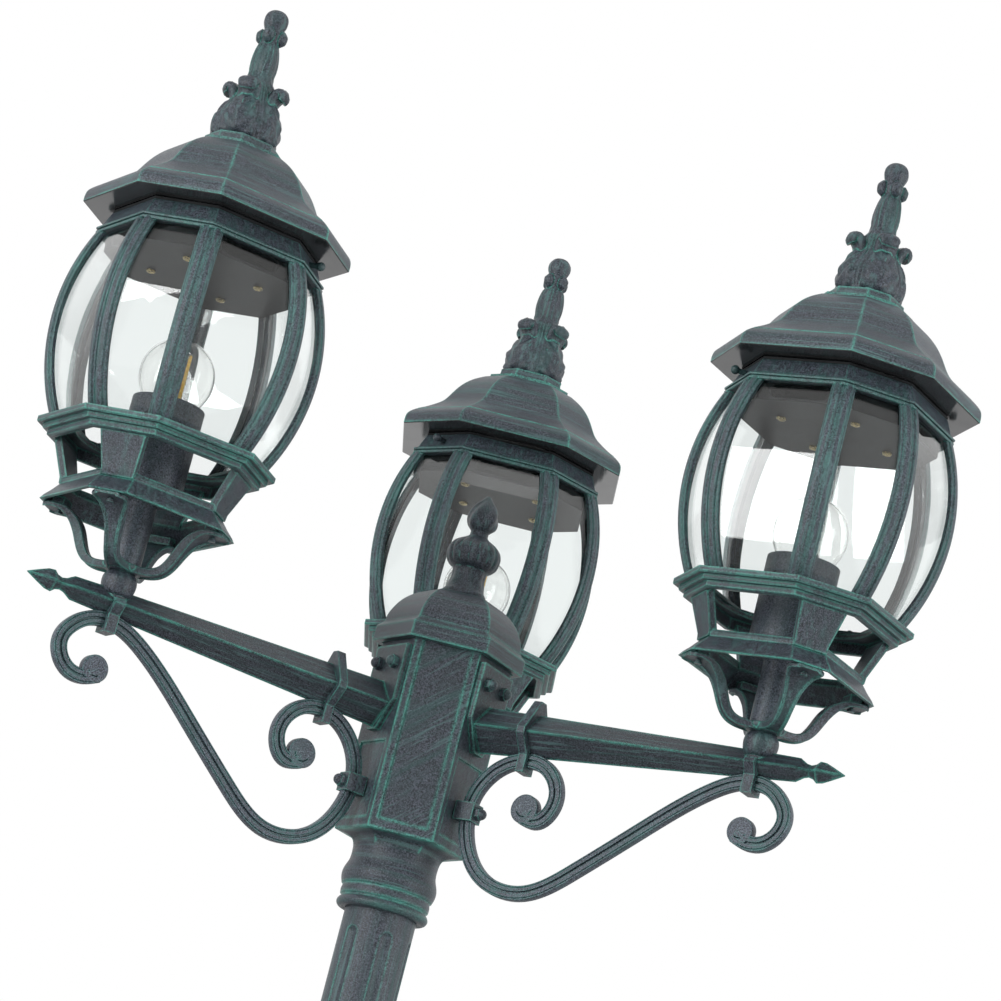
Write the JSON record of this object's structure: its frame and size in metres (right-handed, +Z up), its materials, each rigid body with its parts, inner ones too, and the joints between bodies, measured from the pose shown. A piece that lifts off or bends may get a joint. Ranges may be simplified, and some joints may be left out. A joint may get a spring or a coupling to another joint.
{
  "type": "street lamp post",
  "caption": "Tall post on a round bell foot with a hexagonal hub, scrolled arms and domed lanterns with curved clear panes and lift-off roofs.",
  "frame": {"origin": "centre of the base's underside, on the ground", "axes": "+Z up the post, -Y out of the blank hub face between the two front arms, +X to the right of that face"},
  "size_m": [0.677, 0.6031, 2.2],
  "materials": {
    "patina_aluminium": "cast, near-black paint dry-brushed with green, satin",
    "grey_aluminium": "cast, grey, satin",
    "painted_steel": "painted satin",
    "clear_glass": "clear polished",
    "lamp_cap_metal": "bright rolled thread",
    "holder_ceramic": "unglazed white",
    "terminal_plastic": "moulded"
  },
  "bodies": {
    "post": {"arm_bolts": "painted_steel", "base": "patina_aluminium", "clamps_inner": "patina_aluminium", "clamps_outer": "patina_aluminium", "frame_screws": "painted_steel", "hub_housing": "patina_aluminium", "hub_neck": "patina_aluminium", "left_arm": "patina_aluminium", "left_cage": "patina_aluminium", "left_cradle": "patina_aluminium", "left_gallery": "patina_aluminium", "left_lamp_cup": "patina_aluminium", "left_lamp_holder": "holder_ceramic", "left_panes": "clear_glass", "left_scroll": "patina_aluminium", "left_stem": "patina_aluminium", "neck_screws": "painted_steel", "post_joint_ring": "patina_aluminium", "post_lower": "patina_aluminium", "post_upper": "patina_aluminium", "rear_arm": "patina_aluminium", "rear_cage": "patina_aluminium", "rear_cradle": "patina_aluminium", "rear_gallery": "patina_aluminium", "rear_lamp_cup": "patina_aluminium", "rear_lamp_holder": "holder_ceramic", "rear_panes": "clear_glass", "rear_scroll": "patina_aluminium", "rear_stem": "patina_aluminium", "right_arm": "patina_aluminium", "right_cage": "patina_aluminium", "right_cradle": "patina_aluminium", "right_gallery": "patina_aluminium", "right_lamp_cup": "patina_aluminium", "right_lamp_holder": "holder_ceramic", "right_panes": "clear_glass", "right_scroll": "patina_aluminium", "right_stem": "patina_aluminium", "scroll_bolts": "painted_steel", "scroll_clips": "patina_aluminium", "terminal_block": "terminal_plastic", "thumb_screws": "painted_steel"},
    "left_roof_body": {"left_roof": "patina_aluminium", "left_roof_plate": "grey_aluminium", "left_finial": "patina_aluminium"},
    "left_bulb": {"left_bulb_glass": "clear_glass", "left_bulb_base": "lamp_cap_metal"},
    "right_roof_body": {"right_roof": "patina_aluminium", "right_roof_plate": "grey_aluminium", "right_finial": "patina_aluminium"},
    "right_bulb": {"right_bulb_glass": "clear_glass", "right_bulb_base": "lamp_cap_metal"},
    "rear_roof_body": {"rear_roof": "patina_aluminium", "rear_roof_plate": "grey_aluminium", "rear_finial": "patina_aluminium"},
    "rear_bulb": {"rear_bulb_glass": "clear_glass", "rear_bulb_base": "lamp_cap_metal"},
    "cap": {"hub_cap": "patina_aluminium", "hub_finial": "patina_aluminium"}
  },
  "joints": [
    {"name": "left_roof_lift", "type": "slide", "parent": "post", "child": "left_roof_body", "axis": [0, 0, 1], "range_m": [0, 0.16]},
    {"name": "left_bulb_out", "type": "slide", "parent": "post", "child": "left_bulb", "axis": [0, 0, 1], "range_m": [0, 0.027]},
    {"name": "right_roof_lift", "type": "slide", "parent": "post", "child": "right_roof_body", "axis": [0, 0, 1], "range_m": [0, 0.16]},
    {"name": "right_bulb_out", "type": "slide", "parent": "post", "child": "right_bulb", "axis": [0, 0, 1], "range_m": [0, 0.027]},
    {"name": "rear_roof_lift", "type": "slide", "parent": "post", "child": "rear_roof_body", "axis": [0, 0, 1], "range_m": [0, 0.16]},
    {"name": "rear_bulb_out", "type": "slide", "parent": "post", "child": "rear_bulb", "axis": [0, 0, 1], "range_m": [0, 0.027]},
    {"name": "cap_lift", "type": "slide", "parent": "post", "child": "cap", "axis": [0, 0, 1], "range_m": [0, 0.12]}
  ]
}
